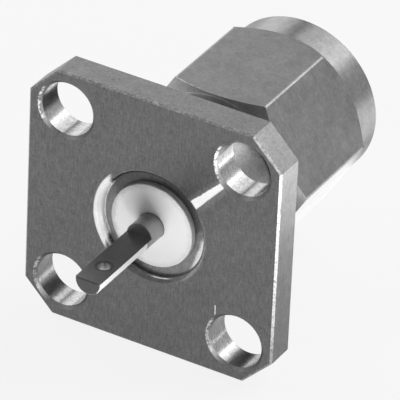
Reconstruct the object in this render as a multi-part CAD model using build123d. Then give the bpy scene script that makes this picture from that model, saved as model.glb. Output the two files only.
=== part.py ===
from build123d import *
import os

# SMA plug on a square four-hole panel flange, with its hexagonal coupling nut.
# Millimetres. The connector's own axis is Y: the flange's mounting face lies on Y = 0, the solder
# terminal points to -Y, and the mating end, with the coupling nut, to +Y. Z is up.

# Panel flange
flange_side = 12.7
flange_thickness = 1.57
flange_corner_cut = 1.45
flange_edge_break = 0.1
hole_edge_distance = 1.9
screw_hole_diameter = 2.6
screw_hole_chamfer = 0.15

# Body forward of the flange: barrel, then the outer contact's thin sleeve
barrel_diameter = 6.35
barrel_length = 5.88
barrel_edge_chamfer = 0.15
barrel_root_radius = 0.25
barrel_shoulder_width = 0.9
sleeve_wall = 0.225
sleeve_length = 2.55
sleeve_edge_chamfer = 0.12

# Well round the insulator in the mounting face, its rim rounded over
well_floor_width = 0.5
well_depth = 0.4
well_rim_rounding = 0.36

# Insulator, which fills the sleeve, and the groove that holds it in the body
insulator_rear_recess = 0.1
insulator_front_recess = 0.05
lock_groove_depth = 0.15
lock_groove_width = 0.6
lock_groove_position = 3.2

# Centre contact: solder terminal, barb inside the insulator, mating pin
contact_diameter = 1.27
pin_diameter = 0.914
pin_length = 2.1
pin_tip_diameter = 0.4
pin_tip_length = 0.6
barb_height = 0.16
barb_length = 0.6
barb_position = 5.0
terminal_length = 5.3
terminal_round_length = 0.95
terminal_flat_height = 0.09
terminal_end_chamfer = 0.08
wire_hole_diameter = 0.65
wire_hole_setback = 1.4

# Split retaining ring, half in the barrel's groove and half in the nut's
ring_thickness = 0.42
ring_width = 0.7
ring_gap = 1.1
ring_side_clearance = 0.04
ring_inner_clearance = 0.22
ring_outer_clearance = 0.08
ring_groove_setback = 0.75
ring_groove_depth = 0.675

# Coupling nut, its flats lying one wall outside the thread's root
nut_length = 8.0
nut_wall = 0.79
nut_rear_lip = 0.82
nut_running_clearance = 0.06
nut_rear_face_setback = 0.1
nut_rear_chamfer_rise = 0.4
nut_hex_length = 5.57
nut_shoulder_length = 0.73
nut_collar_setback = 0.035
nut_collar_chamfer = 0.1
nut_mouth_chamfer = 0.3
nut_bore_chamfer = 0.12
thread_root_clearance = 0.035
thread_length = 5.03
thread_relief_depth = 0.21
thread_relief_length = 1.05

# Sealing gasket on the barrel's front shoulder
gasket_thickness = 0.8
gasket_edge_setback = 0.075
gasket_bore_clearance = 0.03
gasket_corner_chamfer = 0.12

# Stations along the axis
barrel_front = flange_thickness + barrel_length
reference_plane = barrel_front + sleeve_length
ring_groove_width = ring_thickness + 2 * ring_side_clearance
ring_groove_front = barrel_front - ring_groove_setback
ring_groove_rear = ring_groove_front - ring_groove_width
nut_rear = ring_groove_rear - nut_rear_lip
nut_front = nut_rear + nut_length
insulator_front = reference_plane - insulator_front_recess
past_the_face = 0.5

# Radii that follow from the barrel's
barrel_radius = barrel_diameter / 2
sleeve_radius = barrel_radius - barrel_shoulder_width
insulator_radius = sleeve_radius - sleeve_wall
well_floor_radius = insulator_radius + well_floor_width
ring_inner_radius = barrel_radius - ring_groove_depth + ring_inner_clearance
ring_outer_radius = ring_inner_radius + ring_width
nut_bore_radius = barrel_radius + nut_running_clearance
thread_root_radius = barrel_radius + thread_root_clearance
nut_flat_radius = thread_root_radius + nut_wall


# A solid turned about the Y axis from its outline's corners, each (radius, y).
def turned(*corners):
    outline = Polyline(*corners, close=True)
    return revolve(make_face(outline), Axis.Y)


def radius(diameter):
    return diameter / 2


# Corners of the insulator's outside, which are also the corners of the body's bore.
def insulator_wall(rear, front):
    wall = insulator_radius
    lock_rear = lock_groove_position
    lock_front = lock_groove_position + lock_groove_width
    return [
        (wall, rear),
        (wall, lock_rear),
        (wall + lock_groove_depth, lock_rear),
        (wall + lock_groove_depth, lock_front),
        (wall, lock_front),
        (wall, front),
    ]


# Corners of the contact's rod between two stations, with the barb that bites into the insulator.
def contact_wall(rear, front):
    wall = radius(contact_diameter)
    return [
        (wall, rear),
        (wall, barb_position),
        (wall + barb_height, barb_position),
        (wall, barb_position + barb_length),
        (wall, front),
    ]


def screw_hole():
    wall = radius(screw_hole_diameter)
    flare = wall + screw_hole_chamfer + past_the_face
    return turned(
        (0, -past_the_face),
        (flare, -past_the_face),
        (wall, screw_hole_chamfer),
        (wall, flange_thickness - screw_hole_chamfer),
        (flare, flange_thickness + past_the_face),
        (0, flange_thickness + past_the_face),
    )


def flange():
    across = Plane(origin=(0, 0, 0), x_dir=(1, 0, 0), z_dir=(0, 1, 0))
    square = Rectangle(flange_side, flange_side)
    outline = chamfer(square.vertices(), flange_corner_cut)
    plate = extrude(across * outline, flange_thickness)
    faces = plate.faces().sort_by(Axis.Y)
    rims = faces[0].edges() + faces[-1].edges()
    return chamfer(rims, flange_edge_break)


def barrel():
    wall = barrel_radius
    groove = barrel_radius - ring_groove_depth
    sleeve = sleeve_radius
    return turned(
        (0, flange_thickness / 2),
        (wall, flange_thickness / 2),
        (wall, ring_groove_rear),
        (groove, ring_groove_rear),
        (groove, ring_groove_front),
        (wall, ring_groove_front),
        (wall, barrel_front - barrel_edge_chamfer),
        (wall - barrel_edge_chamfer, barrel_front),
        (sleeve, barrel_front),
        (sleeve, reference_plane - sleeve_edge_chamfer),
        (sleeve - sleeve_edge_chamfer, reference_plane),
        (0, reference_plane),
    )


def connector_body():
    body = flange() + barrel()
    root = body.edges().filter_by(GeomType.CIRCLE).sort_by(Axis.Y)[0]
    body = fillet(root, barrel_root_radius)
    spacing = flange_side - 2 * hole_edge_distance
    for place in GridLocations(spacing, spacing, 2, 2):
        body -= Pos(place.position.X, 0, place.position.Y) * screw_hole()
    body -= turned(
        (0, -past_the_face),
        (well_floor_radius, -past_the_face),
        (well_floor_radius, well_depth),
        *insulator_wall(well_depth, reference_plane + past_the_face),
        (0, reference_plane + past_the_face),
    )
    face_circles = body.edges().filter_by(GeomType.CIRCLE).filter_by_position(Axis.Y, 0, 0)
    well_rim = face_circles.sort_by(SortBy.RADIUS)[-1]
    return fillet(well_rim, well_rim_rounding)


def insulator():
    bead = turned(
        (0, insulator_rear_recess),
        *insulator_wall(insulator_rear_recess, insulator_front),
        (0, insulator_front),
    )
    hole = turned(
        (0, insulator_rear_recess - past_the_face),
        *contact_wall(insulator_rear_recess - past_the_face, insulator_front + past_the_face),
        (0, insulator_front + past_the_face),
    )
    return bead - hole


def center_contact():
    pin_wall = radius(pin_diameter)
    pin_end = reference_plane + pin_length
    rod = turned(
        (0, -terminal_length),
        (radius(contact_diameter) - terminal_end_chamfer, -terminal_length),
        (radius(contact_diameter), -terminal_length + terminal_end_chamfer),
        *contact_wall(0, insulator_front)[1:],
        (pin_wall, insulator_front),
        (pin_wall, pin_end - pin_tip_length),
        (radius(pin_tip_diameter), pin_end),
        (0, pin_end),
    )
    flat_length = terminal_length - terminal_round_length
    milled = Box(
        2 * contact_diameter,
        flat_length,
        contact_diameter,
        align=(Align.CENTER, Align.MAX, Align.MIN),
    )
    wire_hole = Cylinder(radius(wire_hole_diameter), 2 * contact_diameter)
    rod -= Pos(0, -terminal_round_length, terminal_flat_height) * milled
    return rod - Pos(0, wire_hole_setback - terminal_length, 0) * wire_hole


def retaining_ring():
    rear = ring_groove_rear + ring_side_clearance
    front = rear + ring_thickness
    ring = turned(
        (ring_inner_radius, rear),
        (ring_outer_radius, rear),
        (ring_outer_radius, front),
        (ring_inner_radius, front),
    )
    split = Box(
        ring_gap,
        2 * ring_thickness,
        2 * ring_outer_radius,
        align=(Align.CENTER, Align.CENTER, Align.MAX),
    )
    return ring - Pos(0, (rear + front) / 2, 0) * split


def gasket():
    inner = sleeve_radius + gasket_bore_clearance
    outer = barrel_radius - gasket_edge_setback
    rear = barrel_front
    front = barrel_front + gasket_thickness
    corner = gasket_corner_chamfer
    return turned(
        (inner, rear),
        (outer - corner, rear),
        (outer, rear + corner),
        (outer, front - corner),
        (outer - corner, front),
        (inner + corner, front),
        (inner, front - corner),
    )


def nut_outside():
    hexagon = RegularPolygon(nut_flat_radius, 6, major_radius=False)
    corner = max(vertex.X for vertex in hexagon.vertices())
    beyond = corner + past_the_face
    rear_face = nut_flat_radius - nut_rear_face_setback
    rear_slope = nut_rear_chamfer_rise / (corner - rear_face)
    collar = nut_flat_radius - nut_collar_setback
    shoulder_slope = nut_shoulder_length / (corner - collar)
    hex_front = nut_rear + nut_hex_length
    envelope = turned(
        (0, nut_rear),
        (rear_face, nut_rear),
        (beyond, nut_rear + rear_slope * (beyond - rear_face)),
        (beyond, hex_front - shoulder_slope * (beyond - corner)),
        (collar, hex_front + nut_shoulder_length),
        (collar, nut_front - nut_collar_chamfer),
        (collar - nut_collar_chamfer, nut_front),
        (0, nut_front),
    )
    across = Plane(origin=(0, nut_rear, 0), x_dir=(1, 0, 0), z_dir=(0, 1, 0))
    return envelope & extrude(across * hexagon, nut_length)


def coupling_nut():
    bore = nut_bore_radius
    groove = ring_outer_radius + ring_outer_clearance
    root = thread_root_radius
    relief = max(root, bore) + thread_relief_depth
    thread_rear = nut_front - thread_length
    relief_rear = thread_rear - thread_relief_length
    inside = turned(
        (0, nut_rear - past_the_face),
        (bore + nut_bore_chamfer + past_the_face, nut_rear - past_the_face),
        (bore, nut_rear + nut_bore_chamfer),
        (bore, ring_groove_rear),
        (groove, ring_groove_rear),
        (groove, ring_groove_front),
        (bore, ring_groove_front),
        (bore, relief_rear),
        (relief, relief_rear),
        (relief, thread_rear),
        (root, thread_rear),
        (root, nut_front - nut_mouth_chamfer),
        (root + nut_mouth_chamfer + past_the_face, nut_front + past_the_face),
        (0, nut_front + past_the_face),
    )
    return nut_outside() - inside


pieces = {
    "connector_body": connector_body(),
    "coupling_nut": coupling_nut(),
    "retaining_ring": retaining_ring(),
    "gasket": gasket(),
    "insulator": insulator(),
    "center_contact": center_contact(),
}

os.makedirs("parts", exist_ok=True)
for name, piece in pieces.items():
    export_step(piece, f"parts/{name}.step")
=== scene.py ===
import bpy, bmesh, math
from mathutils import Matrix, Vector


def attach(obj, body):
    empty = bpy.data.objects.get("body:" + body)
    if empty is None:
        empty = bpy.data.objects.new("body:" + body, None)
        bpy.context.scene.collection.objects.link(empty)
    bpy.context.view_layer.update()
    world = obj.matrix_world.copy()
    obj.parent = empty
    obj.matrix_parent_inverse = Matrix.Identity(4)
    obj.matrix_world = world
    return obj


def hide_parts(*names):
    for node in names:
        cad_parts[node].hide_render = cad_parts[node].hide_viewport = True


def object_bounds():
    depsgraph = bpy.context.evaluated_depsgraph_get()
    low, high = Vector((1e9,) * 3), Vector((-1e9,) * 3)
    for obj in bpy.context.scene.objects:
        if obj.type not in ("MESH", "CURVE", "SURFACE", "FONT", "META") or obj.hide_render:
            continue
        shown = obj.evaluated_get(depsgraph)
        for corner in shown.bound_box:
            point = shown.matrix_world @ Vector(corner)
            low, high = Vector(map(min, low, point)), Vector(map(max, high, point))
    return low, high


# Coaxial plug on a square four-hole flange, with its coupling nut. The mounting face lies on Y = 0,
# the solder terminal points to -Y and the mating end to +Y, and Z is up.

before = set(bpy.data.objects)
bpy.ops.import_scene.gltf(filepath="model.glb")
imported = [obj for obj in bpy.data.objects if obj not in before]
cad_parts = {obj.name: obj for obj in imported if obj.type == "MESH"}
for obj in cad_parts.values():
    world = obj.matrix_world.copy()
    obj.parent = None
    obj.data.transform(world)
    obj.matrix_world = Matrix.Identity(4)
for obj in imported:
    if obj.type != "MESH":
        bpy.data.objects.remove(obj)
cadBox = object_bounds()
scene = bpy.context.scene
mm = 0.001
print("frame loaded:", ", ".join(sorted(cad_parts)))


# Camera
viewpoint = {
    "turn": 28.882,          # degrees to the right of straight on to the mounting face
    "height": 32.48,         # degrees above the connector's axis
    "roll": 2.639,
    "aimRight": 2.177,       # mm from the origin to the picture's middle
    "aimUp": 1.179,
    "distance": 250,         # mm
    "pixelsPerMm": 22.886,
    "pictureWidth": 400,     # pixels
    "sensorWidth": 36,       # mm
    "clip": (0.01, 20),      # m
}


def addCamera(look):
    turn, height, roll = (math.radians(look[key]) for key in ("turn", "height", "roll"))
    outward = math.cos(height)
    ahead = Vector((-math.sin(turn) * outward, math.cos(turn) * outward, -math.sin(height)))
    level = Vector((math.cos(turn), math.sin(turn), 0))
    upright = level.cross(ahead)
    right = level * math.cos(roll) + upright * math.sin(roll)
    up = upright * math.cos(roll) - level * math.sin(roll)
    place = (right * look["aimRight"] + up * look["aimUp"] - ahead * look["distance"]) * mm
    rows = [(right[i], up[i], -ahead[i], place[i]) for i in range(3)]
    data = bpy.data.cameras.new("camera")
    data.sensor_width = look["sensorWidth"]
    data.lens = look["sensorWidth"] * look["distance"] * look["pixelsPerMm"] / look["pictureWidth"]
    data.clip_start, data.clip_end = look["clip"]
    camera = bpy.data.objects.new("camera", data)
    camera.matrix_world = Matrix(rows + [(0, 0, 0, 1)])
    scene.collection.objects.link(camera)
    scene.camera = camera


addCamera(viewpoint)
print("camera set")


# Node trees written as sums
class Val:  # one output of a node, which can be calculated with
    def __init__(self, graph, socket):
        self.graph, self.socket = graph, socket

    def sum(self, operation, *values):
        return self.graph.add("ShaderNodeMath", {"operation": operation}, dict(enumerate(values)))

    def __add__(self, other):
        return self.sum("ADD", self, other)

    def __radd__(self, other):
        return self.sum("ADD", other, self)

    def __sub__(self, other):
        return self.sum("SUBTRACT", self, other)

    def __rsub__(self, other):
        return self.sum("SUBTRACT", other, self)

    def __mul__(self, other):
        return self.sum("MULTIPLY", self, other)

    def __rmul__(self, other):
        return self.sum("MULTIPLY", other, self)

    def __truediv__(self, other):
        return self.sum("DIVIDE", self, other)

    def __rtruediv__(self, other):
        return self.sum("DIVIDE", other, self)

    def __mod__(self, other):
        return self.sum("FLOORED_MODULO", self, other)

    def __abs__(self):
        return self.sum("ABSOLUTE", self)

    def least(self, other):
        return self.sum("MINIMUM", self, other)

    def most(self, other):
        return self.sum("MAXIMUM", self, other)

    def over(self, level):
        return self.sum("GREATER_THAN", self, level)

    def down(self):
        return self.sum("FLOOR", self)

    def root(self):
        return self.sum("SQRT", self)

    def sign(self):
        return self.sum("SIGN", self)

    def sin(self):
        return self.sum("SINE", self)

    def cos(self):
        return self.sum("COSINE", self)

    def fade(self, start, end, low=0.0, high=1.0):  # goes smoothly from low at start to high at end
        names = {"Value": self, "From Min": start, "From Max": end, "To Min": low, "To Max": high}
        return self.graph.add("ShaderNodeMapRange", {"interpolation_type": "SMOOTHSTEP"}, names)

    def above(self, level, soft):  # 1 where the value is above the level
        return self.fade(level - soft, level + soft)

    def below(self, level, soft):
        return self.fade(level - soft, level + soft, 1, 0)

    def between(self, low, high, soft):
        return self.above(low, soft) * self.below(high, soft)

    def out(self, name):  # another output of the same node
        return Val(self.graph, self.socket.node.outputs[name])

    def axes(self):  # the three coordinates of a vector
        parts = self.graph.add("ShaderNodeSeparateXYZ", {}, {0: self})
        return parts.out("X"), parts.out("Y"), parts.out("Z")


class Graph:  # a node tree being built
    def __init__(self, tree):
        self.tree = tree

    def add(self, kind, settings=None, sockets=None, out=0):  # a socket gets a value or a link
        node = self.tree.nodes.new(kind)
        for name, value in (settings or {}).items():
            setattr(node, name, value)
        for name, value in (sockets or {}).items():
            if isinstance(value, Val):
                self.tree.links.new(value.socket, node.inputs[name])
            else:
                node.inputs[name].default_value = value
        return Val(self, node.outputs[out]) if out is not None else None

    def vector(self, x, y, z):
        return self.add("ShaderNodeCombineXYZ", {}, {0: x, 1: y, 2: z})

    def noise(self, where, scale, detail, rough):  # 0 to 1
        names = {"Vector": where, "Scale": scale, "Detail": detail, "Roughness": rough}
        return self.add("ShaderNodeTexNoise", {"noise_dimensions": "3D"}, names)

    def shade(self, vector, amount):  # a colour made lighter or darker, or a vector longer or shorter
        return self.add("ShaderNodeVectorMath", {"operation": "SCALE"}, {0: vector, "Scale": amount})

    def mix(self, share, first, second):  # two numbers
        return self.add("ShaderNodeMix", {"data_type": "FLOAT"}, {0: share, 2: first, 3: second})

    def mixColour(self, share, first, second):
        return self.add("ShaderNodeMix", {"data_type": "RGBA"}, {0: share, 6: first, 7: second}, 2)

    def bump(self, height, depth=1.0):  # depth in mm
        return self.add("ShaderNodeBump", {}, {"Height": height, "Distance": depth * mm, "Strength": 1.0})


def newMaterial(name):
    material = bpy.data.materials.new(name)
    material.use_nodes = True
    material.node_tree.nodes.clear()
    return material, Graph(material.node_tree)


def finishMaterial(graph, sockets):
    surface = graph.add("ShaderNodeBsdfPrincipled", {}, sockets)
    graph.add("ShaderNodeOutputMaterial", {}, {"Surface": surface}, None)


def objectMm(graph):  # a point of the piece in mm, in the part's own frame
    return graph.shade(graph.add("ShaderNodeTexCoord", {}, {}, "Object"), 1 / mm)


def distance(a, b):  # of a point that lies a one way and b the other
    return (a * a + b * b).root()


# Metal surfaces: a pattern that all metals share, then patches where one differs
metalPattern = {
    "faces": (0.75, 0.95),   # how squarely a surface faces along the axis before it counts as a face
    "milled": (3, 0.6),      # layers of the noise and their roughness
    "turned": (2, 0.5),
    "cloud": (4, 0.6),
    "mottle": (3, 0.65),
    "speck": (2, 0.7),
    "alongSlant": 2.2,       # per mm, how fast the slanting grain changes along itself
    "alongRings": 0.3,       # per mm, the same for turning marks
    "bareOrGlintChange": 0.3,       # how much the tone of bare metal or a painted glint varies
    "bareOrGlintScatter": 0.9,      # share of the light that bare metal or a painted glint scatters
}


class Skin:  # a metal surface: tone times the colour, roughness, height in mm, and where it is bare metal or a painted glint
    def __init__(self, graph, look):
        self.graph = graph
        self.point = objectMm(graph)
        self.x, self.y, self.z = self.point.axes()
        self.radius = distance(self.x, self.z)
        normal = graph.add("ShaderNodeTexCoord", {}, {}, "Normal")
        self.square = abs(normal.axes()[1])  # how squarely it faces along the axis, 0 to 1
        turned = self.square.fade(*metalPattern["faces"], *look["turnedShare"])
        grain = graph.mix(turned, self.milledGrain(look), self.turnedGrain(look))
        cloud = graph.noise(self.point, look["cloudScale"], *metalPattern["cloud"])
        mottle = graph.noise(self.point, look["mottleScale"], *metalPattern["mottle"])
        speck = graph.noise(self.point, look["speckScale"], *metalPattern["speck"])
        self.grain, self.cloud, self.mottle, self.speck = grain - 0.5, cloud - 0.5, mottle - 0.5, speck - 0.5
        self.tone = 1 + self.grain * look["grainTone"] + self.cloud * look["cloudTone"] \
            + self.mottle * look["mottleTone"] + self.speck * look["speckTone"]
        self.rough = look["roughness"] + (self.grain + self.cloud) * look["roughChange"]
        self.height = grain * look["grainDepth"] + speck * look["speckDepth"]
        self.bareOrPaintedGlint = None

    def milledGrain(self, look):
        width, drift = look["grainWidth"], metalPattern["alongSlant"]
        if "slant" in look:  # it runs aslant on the nut's flats
            steep = (self.x + self.z) * look["slant"] + self.y
            point = self.graph.vector(steep / width, self.x * drift, self.z * drift)
        else:
            point = self.graph.vector(self.x / width, self.y / width, self.z / look["grainLength"])
        return self.graph.noise(point, 1, *metalPattern["milled"])

    def turnedGrain(self, look):
        mark = look["toolMark"]
        point = self.graph.vector(self.radius / mark, self.y / mark, self.x * metalPattern["alongRings"])
        return self.graph.noise(point, 1, *metalPattern["turned"])

    def patch(self, mask, tone=None, rough=None, bareOrPaintedGlint=False, deeper=0.0):
        if tone is not None:
            self.tone = self.graph.mix(mask, self.tone, self.tone * tone)
        if rough is not None:
            self.rough = self.graph.mix(mask, self.rough, rough)
        if deeper:
            self.height = self.height - mask * deeper
        if bareOrPaintedGlint:
            self.bareOrPaintedGlint = mask if self.bareOrPaintedGlint is None else self.bareOrPaintedGlint.most(mask)

    def finish(self, look):
        colour, metallic = self.graph.shade(look["colour"], self.tone), 1.0
        # bare metal from wear and painted glints are near white and scatter light
        if self.bareOrPaintedGlint is not None:
            change = 1 + self.speck * metalPattern["bareOrGlintChange"]
            colour = self.graph.mixColour(self.bareOrPaintedGlint, colour, self.graph.shade(look["bareOrGlintColour"], change))
            metallic = 1 - self.bareOrPaintedGlint * metalPattern["bareOrGlintScatter"]
        finishMaterial(self.graph, {
            "Base Color": colour,
            "Metallic": metallic,
            "Roughness": self.rough,
            "Normal": self.graph.bump(self.height),
        })


bodySteel = {
    "colour": (0.2, 0.2, 0.2),
    "bareOrGlintColour": (0.95, 0.95, 0.95),
    "roughness": 0.36,
    "roughChange": 0.12,
    "grainWidth": 0.08,      # mm, the fine upright grain of the flange's faces
    "grainLength": 0.5,
    "grainTone": 0.85,
    "grainDepth": 0.0022,    # mm
    "toolMark": 0.05,        # mm between turning marks
    "turnedShare": (0.25, 0.0),  # turned rather than milled, on the sides and on the faces
    "cloudScale": 0.45,      # per mm
    "cloudTone": 0.3,
    "mottleScale": 2.6,
    "mottleTone": 0.55,
    "speckScale": 8.0,
    "speckTone": 0.75,
    "speckDepth": 0.0012,    # mm
    # Each level below is in mm, or a share, and its last number is how softly a patch fades there.
    # The tones in the well copy the photographed light and shade, so they stay put from every side.
    "holes": {
        "place": 4.45,       # mm from the middle, both ways
        "radius": (1.48, 0.02),  # with the chamfered rim
        "rim": {"facing": (0.9, 0.05), "tone": 1.45, "rough": 0.42},
        "wall": {"facing": (0.4, 0.1), "tone": 1.55, "rough": 0.24},
        "chafed": {"ring": (1.35, 1.45, 0.02), "left": (-1.15, 0.1), "depth": (0.25, 0.05), "rough": 0.35},
        "torn": (0, 0.06),
    },
    "well": {
        "depth": (0.45, 0.05),   # a little more than the well's own
        "rim": {"ring": (2.54, 2.93, 0.02), "facing": (0.9425, 0.0425), "rough": 0.22},
        "rimPaintedLight": (0.5, 2, 1.1, 1.7),         # painted light, lighter to the right: from mm to mm rightward, from tone to tone
        "floor": {"radius": (2.545, 0.015), "rough": 0.4},
        "floorPaintedShade": (-0.5, 1.8, 0.95, 0.62),  # painted shade, darker towards the top: the same upward
        # painted light: the well's floor is 1.6 times lighter at its left and right
        "floorLeftPaintedLight": {"from": (-1.7, 0.2), "tilt": 0.3, "tone": 1.6},
        "floorRightPaintedLight": {"from": (1.9, 0.3), "tone": 1.6},
        # a painted highlight: a near-white crescent on the left of the well's rounded rim
        "paintedCrescentGlint": {"ring": (2.52, 2.9, 0.03), "side": (-0.999, 0.035), "start": (2.17, 0.1), "rough": 0.3},
        # a painted highlight on the well's right side
        "paintedWallGlint": {"ring": (2.26, 2.56, 0.03), "side": (0.951, -0.309), "start": (2.34, 0.1), "rough": 0.3},
        "paintedWallGlintTone": 3.6,
        "ragged": 0.12,      # mm that the marks' ends wander
    },
    # a painted highlight along the mounting face's broken edges
    "edges": {
        "across": (6.23, 0.01),  # from the middle to the broken edges
        "corner": (11.12, 0.01),  # the same for both ways added up
        "facing": (0.35, 0.93, 0.05),
        "depth": (0.14, 0.02),
        "rough": 0.38,
        "tone": 1.75,
        "dots": 2.8,
    },
    "scratches": {
        "from": (1.98, 1.98),    # mm, the scrape's inner end
        "to": (3.42, 3.42),
        "ends": 0.05,
        "wide": 0.38,
        "narrow": 0.22,
        "rough": 0.4,
        "deeper": 0.02,
        "ragged": 0.08,
        "halo": {"before": (-0.2, 0.15), "after": (0.225, 0.175), "tone": 1.5},
        "bareOrPaintedGlint": {"before": (-0.03, 0.07), "after": (-0.01, 0.09), "over": (0.35, 0.25)},
        "tick": {"x": (3.4, 3.45, 0.015), "z": (-3.35, -2.84, 0.02)},
        "depth": (0.04, 0.02),   # only the mounting face is scratched
    },
}


def dressHoles(skin, look):  # drilled walls are smoother, and each rim is chafed on its left
    rim, wall, chafed = look["rim"], look["wall"], look["chafed"]
    rightward = skin.x - skin.x.sign() * look["place"]
    fromHole = distance(rightward, abs(skin.z) - look["place"])
    near = fromHole.below(*look["radius"])
    skin.patch(near * skin.square.below(*rim["facing"]), rim["tone"], rim["rough"])
    skin.patch(near * skin.square.below(*wall["facing"]), wall["tone"] / rim["tone"], wall["rough"])
    onRim = fromHole.between(*chafed["ring"]) * rightward.below(*chafed["left"])
    torn = (skin.speck + skin.mottle).above(*look["torn"]) * skin.y.below(*chafed["depth"])
    skin.patch(onRim * torn, rough=chafed["rough"], bareOrPaintedGlint=True)


def dressWell(skin, look):
    rear = skin.y.below(*look["depth"])

    def towards(mark):  # the part of a ring that lies on the mark's side
        side = skin.x * mark["side"][0] + skin.z * mark["side"][1] + skin.mottle * look["ragged"]
        return side.above(*mark["start"]) * skin.radius.between(*mark["ring"]) * rear

    rim, floor, paintedCrescentGlint, paintedWallGlint = look["rim"], look["floor"], look["paintedCrescentGlint"], look["paintedWallGlint"]
    rounded = skin.radius.between(*rim["ring"]) * rear * skin.square.below(*rim["facing"])
    # the rounded rim is painted lighter towards the right
    skin.patch(rounded, skin.x.fade(*look["rimPaintedLight"]), rim["rough"])
    # paints a near-white highlight on the rim's left side
    skin.patch(towards(paintedCrescentGlint), rough=paintedCrescentGlint["rough"], bareOrPaintedGlint=True)
    onFloor = skin.radius.below(*floor["radius"]) * rear
    # the well's floor is painted darker towards the top
    skin.patch(onFloor, skin.z.fade(*look["floorPaintedShade"]), floor["rough"])
    left, right = look["floorLeftPaintedLight"], look["floorRightPaintedLight"]
    leftward = (skin.x + skin.mottle + skin.z * left["tilt"]).below(*left["from"])
    rightward = (skin.x + skin.mottle - skin.z).above(*right["from"])
    # paints the floor lighter at its left and right
    skin.patch(onFloor * leftward, left["tone"])
    skin.patch(onFloor * rightward, right["tone"])
    # paints a highlight on the well's right side, 3.6 times lighter
    skin.patch(towards(paintedWallGlint), look["paintedWallGlintTone"], paintedWallGlint["rough"])


def dressEdges(skin, look):  # the mounting face's broken edges, with a painted highlight that is lighter in dots
    sideways, upward = abs(skin.x), abs(skin.z)
    straight = sideways.most(upward).above(*look["across"])
    clipped = (sideways + upward).above(*look["corner"])
    slanted = skin.square.between(*look["facing"]) * skin.y.below(*look["depth"])
    skin.patch(straight.most(clipped) * slanted, look["tone"] + skin.speck * look["dots"], look["rough"])


def dressScratches(skin, look):  # a scrape from the well to a hole, and a short tick
    onFace = abs(skin.y).below(*look["depth"])
    (startX, startZ), (endX, endZ) = look["from"], look["to"]
    length = math.hypot(endX - startX, endZ - startZ)
    stepX, stepZ = (endX - startX) / length, (endZ - startZ) / length
    fromX, fromZ = skin.x - startX, skin.z - startZ
    along = fromX * stepX + fromZ * stepZ
    across = fromX * stepZ - fromZ * stepX + (skin.speck + skin.mottle) * look["ragged"]
    beyond = across - (look["wide"] + along * ((look["narrow"] - look["wide"]) / length))
    onMark = along.between(0, length, look["ends"]) * onFace

    def stripe(part):
        return across.above(*part["before"]) * beyond.below(*part["after"])

    halo, bareOrPaintedGlint, tick = look["halo"], look["bareOrPaintedGlint"], look["tick"]
    skin.patch(stripe(halo) * onMark, halo["tone"])
    scraped = stripe(bareOrPaintedGlint).above(*bareOrPaintedGlint["over"]) * onMark
    skin.patch(scraped, rough=look["rough"], bareOrPaintedGlint=True, deeper=look["deeper"])
    nick = skin.x.between(*tick["x"]) * skin.z.between(*tick["z"]) * onFace
    skin.patch(nick, rough=look["rough"], bareOrPaintedGlint=True)


def flangeSteel(look):
    material, graph = newMaterial("satinSteel")
    skin = Skin(graph, look)
    dressHoles(skin, look["holes"])
    dressWell(skin, look["well"])
    dressEdges(skin, look["edges"])
    dressScratches(skin, look["scratches"])
    skin.finish(look)
    return material


nutSteel = {
    "colour": (0.2, 0.2, 0.2),
    "roughness": 0.33,
    "roughChange": 0.1,
    "grainWidth": 0.07,      # mm
    "slant": 0.35,           # the grain's lean on the flats
    "grainTone": 0.35,
    "grainDepth": 0.0012,
    "toolMark": 0.045,
    "turnedShare": (0.0, 1.0),
    "cloudScale": 0.5,
    "cloudTone": 0.35,
    "mottleScale": 2.4,
    "mottleTone": 0.6,
    "speckScale": 8.0,
    "speckTone": 0.5,
    "speckDepth": 0.0008,
    # Each level below is in mm, or a share, and its last number is how softly a patch fades there.
    # The tones of the rear slope and face copy the photographed light, and stay put from every side.
    "collar": {"from": (11.05, 0.05), "rough": 0.3},
    "rearSlope": {"to": (5.795, 0.025), "facing": (0.35, 0.05)},
    "slopeTones": (-2.6, 0.5, 3.6, 1.3),   # from mm to mm rightward, from tone to tone
    "rearFace": {"to": (5.395, 0.005), "tone": 2.2},
}


def nutMetalFrom(look):
    material, graph = newMaterial("turnedSteel")
    skin = Skin(graph, look)
    collar, slope, face = look["collar"], look["rearSlope"], look["rearFace"]
    skin.patch(skin.y.above(*collar["from"]), rough=collar["rough"])
    onSlope = skin.y.below(*slope["to"]) * skin.square.above(*slope["facing"])
    skin.patch(onSlope, skin.x.fade(*look["slopeTones"]))
    skin.patch(skin.y.below(*face["to"]), face["tone"])
    skin.finish(look)
    return material


contactPlating = {
    "colour": (0.3, 0.3, 0.3),
    "bareOrGlintColour": (0.97, 0.97, 0.97),
    "roughness": 0.3,
    "roughChange": 0.1,
    "grainWidth": 0.06,
    "grainLength": 0.2,
    "grainTone": 0.4,
    "grainDepth": 0.001,
    "toolMark": 0.04,
    "turnedShare": (0.9, 1.0),
    "cloudScale": 1.2,
    "cloudTone": 0.3,
    "mottleScale": 4.0,
    "mottleTone": 0.3,
    "speckScale": 9.0,
    "speckTone": 0.4,
    "speckDepth": 0.0006,
    # Each level below is in mm, and its last number is how softly a patch fades there.
    # The tones of the flat and the end copy the photographed shade, and stay put from every side.
    "flat": {"behind": (-0.915, 0.015), "over": (0.045, 0.015), "tone": 0.68, "rough": 0.42},
    "end": {"behind": (-5.24, 0.04), "tone": 0.45},
    # a painted highlight: a near-white strip along the terminal's lower right side
    "paintedSideGlint": {"right": (0.45, 0.03), "under": (0.075, 0.01), "along": (-5.24, -1.3, 0.04), "rough": 0.35},
    "wireHole": {"y": -3.9, "radius": (0.325, 0.01), "wallUnder": (0.05, 0.01), "wallTone": 2.0},
    "stain": {"radius": (0.43, 0.07), "tone": 0.7},   # round the wire hole
}
springBronze = dict(contactPlating, colour=(0.5, 0.36, 0.2), roughness=0.32)


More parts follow.
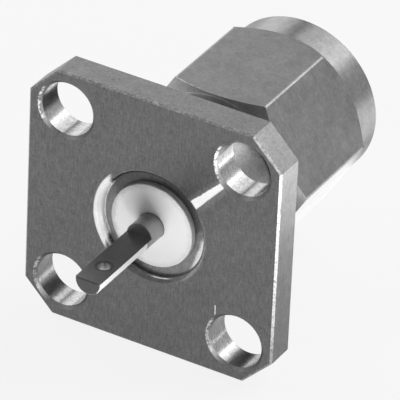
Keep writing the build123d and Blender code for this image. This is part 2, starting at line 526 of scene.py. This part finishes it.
def contactMetalFrom(look):
    material, graph = newMaterial("greyPlating")
    skin = Skin(graph, look)
    flat, end, paintedSideGlint, hole, stain = (look[key] for key in ("flat", "end", "paintedSideGlint", "wireHole", "stain"))
    onFlat = skin.y.below(*flat["behind"]) * skin.z.above(*flat["over"])
    skin.patch(onFlat, flat["tone"], flat["rough"])
    skin.patch(skin.y.below(*end["behind"]), end["tone"])
    # paints a near-white highlight along the terminal's lower right side
    side = skin.x.above(*paintedSideGlint["right"]) * skin.z.below(*paintedSideGlint["under"])
    skin.patch(side * skin.y.between(*paintedSideGlint["along"]), rough=paintedSideGlint["rough"], bareOrPaintedGlint=True)
    fromHole = distance(skin.x, skin.y - hole["y"])
    skin.patch(onFlat * fromHole.below(*stain["radius"]), stain["tone"])
    onWall = fromHole.below(*hole["radius"]) * skin.z.below(*hole["wallUnder"])
    skin.patch(onWall, hole["wallTone"])
    skin.finish(look)
    return material


def ringMetalFrom(look):
    material, graph = newMaterial("springBronze")
    Skin(graph, look).finish(look)
    return material


# Plastic and rubber
whitePlastic = {
    "colour": (0.9, 0.9, 0.9),
    "roughness": 0.42,
    "roughChange": 0.2,
    "ior": 1.38,
    "waxiness": 0.3,
    "depth": 0.25,           # mm that light spreads under the surface
    "toolMark": 0.07,        # mm between the rings
    "rings": (1, 2, 0.5),    # noise: how fine, its layers and their roughness
    "ringTone": 0.03,
    "ringDepth": 0.001,      # mm
    "cloud": (0.9, 3, 0.6),
    "cloudTone": 0.05,
    "fray": (5.0, 4, 0.7),
    "frayed": 0.5,           # mm that the darker border wanders
    "border": (1.75, 2.0),   # mm from the axis, where it starts and is full
    "borderDepth": (0.4, 0.3),
    "borderDarkening": 0.12,
    "sideDarkening": 0.18,        # more of it on the left
    "sideLean": -0.7,
    "side": (0.2, 1.4),
}
redRubber = {
    "colour": (0.36, 0.075, 0.045),
    "roughness": 0.6,
    "roughChange": 0.2,
    "cloud": (1.1, 2, 0.5),  # noise: how fine, its layers and their roughness
    "cloudTone": 0.3,
    "pores": (14.0, 3, 0.7),
    "poreTone": 0.2,
    "poreDepth": 0.004,      # mm
}


def plasticFinish(name, look):  # machined fluoropolymer: white, waxy, with faint facing rings
    material, graph = newMaterial(name)
    point = objectMm(graph)
    x, y, z = point.axes()
    radius = distance(x, z)
    mark = look["toolMark"]
    rings = graph.noise(graph.vector(radius / mark, y / mark, 0.0), *look["rings"])
    cloud = graph.noise(point, *look["cloud"])
    fray = graph.noise(point, *look["fray"])
    # darker towards the border, and more so on the left
    border = (radius + (fray - 0.5) * look["frayed"]).fade(*look["border"])
    darkBorder = border * y.fade(*look["borderDepth"])
    side = (x * look["sideLean"] + (cloud - 0.5)).fade(*look["side"])
    tone = 1 + (rings - 0.5) * look["ringTone"] + (cloud - 0.5) * look["cloudTone"]
    tone = tone * (1 - darkBorder * (look["borderDarkening"] + side * look["sideDarkening"]))
    finishMaterial(graph, {
        "Base Color": graph.shade(look["colour"], tone),
        "Roughness": look["roughness"] + (cloud - 0.5) * look["roughChange"],
        "IOR": look["ior"],
        "Subsurface Weight": look["waxiness"],
        "Subsurface Radius": (1.0, 1.0, 1.0),
        "Subsurface Scale": look["depth"] * mm,
        "Normal": graph.bump(rings, look["ringDepth"]),
    })
    return material


def rubberFinish(name, look):
    material, graph = newMaterial(name)
    point = objectMm(graph)
    pores = graph.noise(point, *look["pores"])
    cloud = graph.noise(point, *look["cloud"])
    tone = 1 + (cloud - 0.5) * look["cloudTone"] + (pores - 0.5) * look["poreTone"]
    finishMaterial(graph, {
        "Base Color": graph.shade(look["colour"], tone),
        "Roughness": look["roughness"] + (pores - 0.5) * look["roughChange"],
        "Normal": graph.bump(pores, look["poreDepth"]),
    })
    return material


bodyMetal = flangeSteel(bodySteel)
nutMetal = nutMetalFrom(nutSteel)
contactMetal = contactMetalFrom(contactPlating)
ringMetal = ringMetalFrom(springBronze)
insulatorWhite = plasticFinish("whiteFluoropolymer", whitePlastic)
gasketRed = rubberFinish("redSilicone", redRubber)
print("finishes made")


# Pieces
meshCare = {
    "joined": 1e-7,          # m, points closer than this become one
    "flat": 0.5,             # degrees, faces that meet flatter than this become one
    "smooth": 30,            # degrees, steeper edges are shaded sharp
    "smoothThread": 35,
    "rounded": 28,           # degrees, steeper edges are rounded
}
roundedBy = {  # mm, each piece's edges
    "flangeAndBarrel": 0.03,
    "solderContact": 0.02,
    "springRing": 0.02,
    "sealingGasket": 0.03,
    "insulatorBead": 0.05,
}


def smoothShade(piece, angle=meshCare["smooth"]):
    piece.data.polygons.foreach_set("use_smooth", [True] * len(piece.data.polygons))
    piece.data.set_sharp_from_angle(angle=math.radians(angle))
    piece.data.update()


def softenEdges(piece, width, segments=2, weighted=False):
    bevel = piece.modifiers.new("soft edges", "BEVEL")
    bevel.limit_method = "WEIGHT" if weighted else "ANGLE"
    bevel.angle_limit = math.radians(meshCare["rounded"])
    bevel.width = width * mm
    bevel.segments = segments
    bevel.use_clamp_overlap = True
    bevel.harden_normals = True


def addPiece(name, mesh, material, body, nodes=()):
    piece = bpy.data.objects.new(name, mesh)
    scene.collection.objects.link(piece)
    mesh.materials.clear()
    mesh.materials.append(material)
    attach(piece, body)
    if nodes:
        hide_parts(*nodes)
    return piece


def mergedCopy(node):  # the CAD node's own surface as one closed skin with large flat faces
    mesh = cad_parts[node].data.copy()
    skin = bmesh.new()
    skin.from_mesh(mesh)
    bmesh.ops.remove_doubles(skin, verts=skin.verts, dist=meshCare["joined"])
    flat = math.radians(meshCare["flat"])
    bmesh.ops.dissolve_limit(skin, angle_limit=flat, verts=skin.verts, edges=skin.edges)
    skin.to_mesh(mesh)
    skin.free()
    if "custom_normal" in mesh.attributes:
        mesh.attributes.remove(mesh.attributes["custom_normal"])
    return mesh


def dressedCopy(name, node, material, body):
    piece = addPiece(name, mergedCopy(node), material, body, [node])
    smoothShade(piece)
    softenEdges(piece, roundedBy[name])


dressedCopy("flangeAndBarrel", "connector_body", bodyMetal, "connector")
dressedCopy("solderContact", "center_contact", contactMetal, "connector")
dressedCopy("springRing", "retaining_ring", ringMetal, "connector")
dressedCopy("sealingGasket", "gasket", gasketRed, "connector")
dressedCopy("insulatorBead", "insulator", insulatorWhite, "connector")
print("turned pieces dressed")


# Coupling nut and its thread, made by node trees
nutShape = {  # mm, the section's corners as (radius, y): forward outside, then back through the bore
    "flat": 4.0,             # where a radius says corner, it is the hexagon's corner
    "outside": [
        (3.9, 5.38), ("corner", 5.78), ("corner", 10.95), (3.965, 11.68), (3.965, 13.28), (3.865, 13.38),
    ],
    "inside": [
        (3.51, 13.38), (3.21, 13.08), (3.21, 8.35), (3.445, 8.35), (3.445, 7.3), (3.235, 7.3),
        (3.235, 6.7), (3.5, 6.7), (3.5, 6.2), (3.235, 6.2), (3.235, 5.5), (3.355, 5.38),
    ],
    "segments": 192,
    "edgeAngle": 20,         # degrees, flatter edges stay unbroken
    "cornerBreak": 0.1,      # mm, bevel along the hexagon's corners
    "cornersOutside": 4.5,   # mm from the axis, where only those corners are
    "lengthwise": 1.0,       # mm, shorter edges along the axis aren't such corners
    "edgeBreak": 0.03,
    "fineShare": 0.3,        # of edgeBreak, round the shoulder and the rear face
    "shoulder": (10.9, 11.7),   # mm along the axis
    "rear": {"to": 5.8, "outside": 3.95},   # mm along the axis and from it
}
threadShape = {
    "root": 3.26,            # mm, sunk a little into the nut's wall
    "crest": 2.86,
    "pitch": 0.7056,         # 36 turns to the inch, right-hand
    "start": 8.72,
    "turns": 6.05,
    "rootHalf": 0.31,        # half widths of a turn
    "crestHalf": 0.085,
    "steps": 96,             # a turn
    "runOut": 0.35,          # turns over which each end fades into the wall
}
weldDistance = 5e-7          # m, points of a bent sheet that meet become one


def newTree(name, inputs):
    tree = bpy.data.node_groups.new(name, "GeometryNodeTree")
    tree.interface.new_socket("Geometry", in_out="INPUT", socket_type="NodeSocketGeometry")
    for label, kind in inputs.items():
        tree.interface.new_socket(label, in_out="INPUT", socket_type="NodeSocket" + kind)
    tree.interface.new_socket("Geometry", in_out="OUTPUT", socket_type="NodeSocketGeometry")
    graph = Graph(tree)
    return tree, graph, graph.add("NodeGroupInput")


def endTree(graph, geometry, given):
    real = graph.add("GeometryNodeRealizeInstances", {}, {"Geometry": geometry})
    dressed = graph.add("GeometryNodeSetMaterial", {}, {"Geometry": real, "Material": given.out("Material")})
    graph.add("NodeGroupOutput", {}, {"Geometry": dressed}, None)


def bakedMesh(name, start, tree, values):  # runs a tree on a mesh and gives the plain result
    holder = bpy.data.objects.new(name + "Source", start)
    scene.collection.objects.link(holder)
    modifier = holder.modifiers.new("shape", "NODES")
    modifier.node_group = tree
    for item in tree.interface.items_tree:
        if item.in_out == "INPUT" and item.name in values:
            modifier[item.identifier] = values[item.name]
    holder.update_tag()
    mesh = bpy.data.meshes.new_from_object(holder.evaluated_get(bpy.context.evaluated_depsgraph_get()))
    holder.modifiers.remove(modifier)
    bpy.data.objects.remove(holder)
    skin = bmesh.new()
    skin.from_mesh(mesh)
    bmesh.ops.remove_doubles(skin, verts=skin.verts, dist=meshCare["joined"])
    bmesh.ops.recalc_face_normals(skin, faces=skin.faces)
    skin.to_mesh(mesh)
    skin.free()
    mesh.name = name
    return mesh


def gridOf(graph, rows, columns):  # a bendable sheet, and each of its points' row and column
    sheet = graph.add("GeometryNodeMeshGrid", {}, {"Vertices X": rows, "Vertices Y": columns}, "Mesh")
    number = graph.add("GeometryNodeInputIndex")
    row = ((number + 0.5) / columns).down()
    return sheet, row, number - row * columns


def bentTo(graph, sheet, radius, angle, along):
    place = graph.vector(radius * angle.sin(), along, radius * angle.cos())
    bent = graph.add("GeometryNodeSetPosition", {}, {"Geometry": sheet, "Position": place})
    return graph.add("GeometryNodeMergeByDistance", {}, {"Geometry": bent, "Distance": weldDistance})


def hexagonTree():  # turns a section, and draws it in to a hexagon where the section says so
    names = {"Flat": "Float", "Corner": "Float", "Segments": "Int", "Material": "Material"}
    tree, graph, given = newTree("hexagonFromSection", names)
    section = given.out("Geometry")
    size = {"Geometry": section}
    count = graph.add("GeometryNodeAttributeDomainSize", {"component": "MESH"}, size, "Point Count")
    sheet, row, column = gridOf(graph, count + 1, given.out("Segments") + 1)
    point = row % count

    def read(kind, value):
        sockets = {"Geometry": section, "Value": value, "Index": point}
        return graph.add("GeometryNodeSampleIndex", {"data_type": kind, "domain": "POINT"}, sockets)

    def stored(name):
        kind = {"data_type": "FLOAT"}
        return read("FLOAT", graph.add("GeometryNodeInputNamedAttribute", kind, {"Name": name}))

    radius, along = read("FLOAT_VECTOR", graph.add("GeometryNodeInputPosition")).axes()[:2]
    angle = column * (2 * math.pi) / given.out("Segments")
    fromFlat = (angle + math.pi / 6) % (math.pi / 3) - math.pi / 6
    drop = given.out("Corner") - given.out("Flat") / fromFlat.cos()
    pulled = drop * stored("hexagon")
    skin = bentTo(graph, sheet, radius - pulled, angle, along + pulled * stored("slide"))
    endTree(graph, skin, given)
    return tree


def threadTree():  # a ridge wound along a helix, fading into the wall at both ends
    corners = 4  # of a turn's section: root, crest, crest and root
    names = ["Root", "Crest", "Pitch", "Start", "Turns", "Root Half", "Crest Half", "Run Out"]
    inputs = dict({name: "Float" for name in names}, Steps="Int", Material="Material")
    tree, graph, given = newTree("threadTurns", inputs)
    steps, turns, runOut = given.out("Steps"), given.out("Turns"), given.out("Run Out")
    sheet, row, column = gridOf(graph, steps * turns + 1, corners + 1)
    turn = (row / steps).least(turns)
    grown = (turn / runOut).least((turns - turn) / runOut).least(1.0).most(0.0)
    side = column % corners
    onCrest = 1 - abs(side - 1.5).over(1.0)
    forward = side.over(1.5) * 2 - 1
    root, crest = given.out("Root"), given.out("Crest")
    radius = root + (crest - root) * onCrest * grown
    half = given.out("Root Half") + (given.out("Crest Half") - given.out("Root Half")) * onCrest
    along = given.out("Start") + turn * given.out("Pitch") + half * forward * grown
    skin = bentTo(graph, sheet, radius, turn * (2 * math.pi), along)
    endTree(graph, skin, given)
    return tree


def nutSection(look, corner):  # the section as a loop of points, with how far each is drawn in and slid
    outside = [(corner if radius == "corner" else radius, along) for radius, along in look["outside"]]
    (rearFace, rear), (_, rearEnd), (_, frontEnd), (collar, front) = outside[:4]
    points = outside + look["inside"]
    edges = [(i, (i + 1) % len(points)) for i in range(len(points))]
    mesh = bpy.data.meshes.new("nutSection")
    mesh.from_pydata([(radius * mm, along * mm, 0) for radius, along in points], edges, [])
    marks = {
        "hexagon": [0, 1, 1, 0, 0, 0],
        "slide": [0, (rear - rearEnd) / (corner - rearFace), (front - frontEnd) / (corner - collar), 0, 0, 0],
    }
    for name, values in marks.items():
        values = values + [0] * len(look["inside"])
        mesh.attributes.new(name, "FLOAT", "POINT").data.foreach_set("value", values)
    return mesh


def edgeShare(edge, look):  # of cornerBreak, how wide an edge of the nut is broken
    (firstRadius, first), (lastRadius, last) = (
        (math.hypot(vertex.co.x, vertex.co.z) / mm, vertex.co.y / mm) for vertex in edge.verts)
    inner, low, high = min(firstRadius, lastRadius), min(first, last), max(first, last)
    if high - low > look["lengthwise"] and inner > look["cornersOutside"]:
        return 1.0
    share = look["edgeBreak"] / look["cornerBreak"]
    shoulder = low > look["shoulder"][0] and high < look["shoulder"][1]
    behind = high < look["rear"]["to"] and inner > look["rear"]["outside"]
    return share * (look["fineShare"] if shoulder or behind else 1.0)


def weighEdges(piece, look):  # the hexagon's long corners are broken wider than the other edges
    mesh = piece.data
    skin = bmesh.new()
    skin.from_mesh(mesh)
    weight = skin.edges.layers.float.new("bevel_weight_edge")
    for edge in skin.edges:
        if len(edge.link_faces) == 2 and edge.calc_face_angle(0) >= math.radians(look["edgeAngle"]):
            edge[weight] = edgeShare(edge, look)
    skin.to_mesh(mesh)
    skin.free()


cornerRadius = nutShape["flat"] / math.cos(math.pi / 6)
nutMesh = bakedMesh("hexagonNut", nutSection(nutShape, cornerRadius), hexagonTree(), {
    "Flat": nutShape["flat"] * mm,
    "Corner": cornerRadius * mm,
    "Segments": nutShape["segments"],
    "Material": nutMetal,
})
hexagonNut = addPiece("hexagonNut", nutMesh, nutMetal, "nut", ["coupling_nut"])
smoothShade(hexagonNut)
weighEdges(hexagonNut, nutShape)
softenEdges(hexagonNut, nutShape["cornerBreak"], segments=3, weighted=True)

threadMesh = bakedMesh("threadTurns", bpy.data.meshes.new("threadStart"), threadTree(), {
    "Root": threadShape["root"] * mm,
    "Crest": threadShape["crest"] * mm,
    "Pitch": threadShape["pitch"] * mm,
    "Start": threadShape["start"] * mm,
    "Turns": threadShape["turns"],
    "Root Half": threadShape["rootHalf"] * mm,
    "Crest Half": threadShape["crestHalf"] * mm,
    "Run Out": threadShape["runOut"],
    "Steps": threadShape["steps"],
    "Material": nutMetal,
})
threadTurns = addPiece("threadTurns", threadMesh, nutMetal, "nut")
smoothShade(threadTurns, meshCare["smoothThread"])
print("nut made:", len(nutMesh.polygons), "faces, thread:", len(threadMesh.polygons))


# Floor, world and lamps
studio = {
    "floorSide": 1.6,        # m
    "floorGap": 0.02,        # mm under the part's lowest point
    "floorTone": 0.5,
    "floorGlow": 0.87,       # share of the floor that the camera sees as plain white
    "glossGlow": 0.6,        # the same for reflections
    "sky": 0.87,             # the world as the camera sees it, like the floor's far end
    "ambient": 0.37,         # the world's glow as metal reflects it
    "softAmbient": 0.03,     # and as it lights plastic and rubber
    "aim": (0, 4, 0),        # mm, the point that the lamps stand round
    "cardLift": 0.1,         # mm above the part's lowest point
}

# A lamp or card with seenBy is seen by metal or by plastic alone.
lamps = {  # direction from the part, distance and side in mm, glow against white
    "key": {"from": (0.473, 0.473, 0.743), "far": 260, "side": 150, "glow": 6.94},
    "frontRight": {"from": (0.672, -0.672, 0.309), "far": 260, "side": 150, "glow": 2.25, "seenBy": "metal"},
    "left": {"from": (-0.669, 0.0, 0.743), "far": 260, "side": 150, "glow": 3.28},
    "backHigh": {"from": (0.0, 0.669, 0.743), "far": 260, "side": 150, "glow": 1.8},
    "backLeft": {"from": (-0.672, 0.672, 0.309), "far": 260, "side": 150, "glow": 1.75},
    "backRight": {"from": (0.672, 0.672, 0.309), "far": 260, "side": 150, "glow": 0.58},
}
cards = {  # bright cards that lie on the floor: place and side in mm, glow against white
    "rightCard": {"at": (45, 8), "side": 50, "glow": 5.7},
    "backCard": {"at": (10, 50), "side": 50, "glow": 1.16},
    "frontCard": {"at": (2, -15), "side": 9, "glow": 18.0, "seenBy": "plastic"},
    "underCard": {"at": (0, 11.5), "side": 11.5, "glow": 1.45, "seenBy": "metal"},
    "farCard": {"at": (13, 19), "side": 13, "glow": 1.1, "seenBy": "metal"},
    "edgeCard": {"at": (15, -5), "side": 10, "glow": 2.1, "seenBy": "metal"},
}


def addFloor(look):
    bpy.ops.mesh.primitive_plane_add(size=look["floorSide"], location=(0, 0, 0))
    floor = bpy.context.object
    floor.name = "floor"
    for corner in floor.data.vertices:
        corner.co.z = cadBox[0][2] - look["floorGap"] * mm
    material, graph = newMaterial("paleFloor")
    paper = graph.add("ShaderNodeBsdfDiffuse", {}, {"Color": (look["floorTone"],) * 3 + (1,)})
    white = graph.add("ShaderNodeEmission", {}, {"Color": (1, 1, 1, 1), "Strength": 1.0})
    ray = graph.add("ShaderNodeLightPath")
    mirrored = ray.out("Is Glossy Ray").most(ray.out("Is Transmission Ray"))
    share = ray.out("Is Camera Ray") * look["floorGlow"] + mirrored * look["glossGlow"]
    mix = graph.add("ShaderNodeMixShader", {}, {0: share, 1: paper, 2: white})
    graph.add("ShaderNodeOutputMaterial", {}, {"Surface": mix}, None)
    floor.data.materials.append(material)


def addWorld(look):
    world = bpy.data.worlds.new("studio")
    scene.world = world
    world.use_nodes = True
    world.node_tree.nodes.clear()
    graph = Graph(world.node_tree)
    ray = graph.add("ShaderNodeLightPath")
    unseen = graph.mix(ray.out("Is Diffuse Ray"), look["ambient"], look["softAmbient"])
    strength = graph.mix(ray.out("Is Camera Ray"), unseen, look["sky"])
    glow = graph.add("ShaderNodeBackground", {}, {"Color": (1, 1, 1, 1), "Strength": strength})
    graph.add("ShaderNodeOutputWorld", {}, {"Surface": glow}, None)


def addLamp(name, look, place, away):  # a square softbox; away is the way that its back faces
    data = bpy.data.lights.new(name, "AREA")
    data.shape, data.size = "SQUARE", look["side"] * mm
    data.energy = look["glow"] * math.pi * data.size ** 2  # W, which makes it glow times as bright as white
    lamp = bpy.data.objects.new(name, data)
    lamp.location = place * mm
    lamp.rotation_euler = away.to_track_quat("Z", "Y").to_euler()
    lamp.visible_camera = False
    lamp.visible_diffuse = look.get("seenBy") != "metal"
    lamp.visible_glossy = look.get("seenBy") != "plastic"
    scene.collection.objects.link(lamp)


def addLamps(boxes, flat, look):
    for name, box in boxes.items():
        away = Vector(box["from"]).normalized()
        addLamp(name, box, away * box["far"] + Vector(look["aim"]), away)
    level = cadBox[0][2] / mm + look["cardLift"]
    for name, card in flat.items():
        addLamp(name, card, Vector((*card["at"], level)), Vector((0, 0, -1)))


addFloor(studio)
addWorld(studio)
addLamps(lamps, cards, studio)
scene.view_settings.view_transform = "Standard"
print("studio set")
